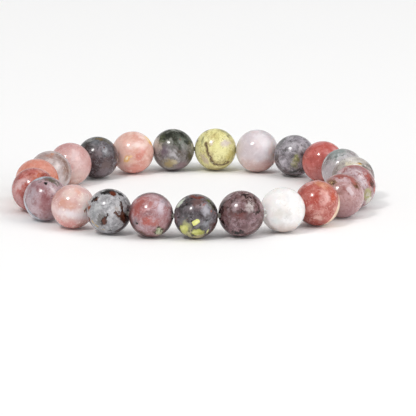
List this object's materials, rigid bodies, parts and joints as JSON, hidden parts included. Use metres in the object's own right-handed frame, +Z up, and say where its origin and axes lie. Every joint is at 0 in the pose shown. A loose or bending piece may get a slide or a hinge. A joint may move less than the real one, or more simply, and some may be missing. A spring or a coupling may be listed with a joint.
{
  "type": "beaded bracelet",
  "caption": "Closed stretch bracelet of round polished mixed-colour stone beads, drilled and strung on a hidden elastic cord, lying flat as a loop.",
  "frame": {"origin": "centre of the bracelet's outline, at the height of the surface that it lies on", "axes": "+Z up, along the way a hand goes through the loop; -Y towards the side that faced the viewer, +X to that viewer's right"},
  "size_m": [0.0664, 0.0668, 0.0082],
  "materials": {
    "clear_pink": "polished",
    "charcoal": "polished",
    "cloudy_salmon": "polished",
    "dark_green_grey": "polished",
    "lime_yellow": "polished",
    "pale_lilac": "polished",
    "grey_purple": "polished",
    "coral_red": "polished",
    "pale_grey_green": "polished",
    "dark_olive": "polished",
    "banded_mauve": "polished",
    "dusty_rose": "polished",
    "coral_cream": "polished",
    "milky_white": "polished",
    "plum": "polished",
    "charcoal_lime": "polished",
    "brick_mauve": "polished",
    "granite_grey": "polished",
    "pale_peach": "polished",
    "grey_mauve": "polished",
    "brick_red": "polished",
    "salmon_orange": "polished",
    "taupe": "polished",
    "elastic": "satin"
  },
  "bodies": {
    "root": {"bead_01": "clear_pink", "bead_02": "charcoal", "bead_03": "cloudy_salmon", "bead_04": "dark_green_grey", "bead_05": "lime_yellow", "bead_06": "pale_lilac", "bead_07": "grey_purple", "bead_08": "coral_red", "bead_09": "pale_grey_green", "bead_10": "dark_olive", "bead_11": "banded_mauve", "bead_12": "dusty_rose", "bead_13": "coral_cream", "bead_14": "milky_white", "bead_15": "plum", "bead_16": "charcoal_lime", "bead_17": "brick_mauve", "bead_18": "granite_grey", "bead_19": "pale_peach", "bead_20": "grey_mauve", "bead_21": "brick_red", "bead_22": "salmon_orange", "bead_23": "taupe", "elastic_cord": "elastic"}
  },
  "joints": []
}
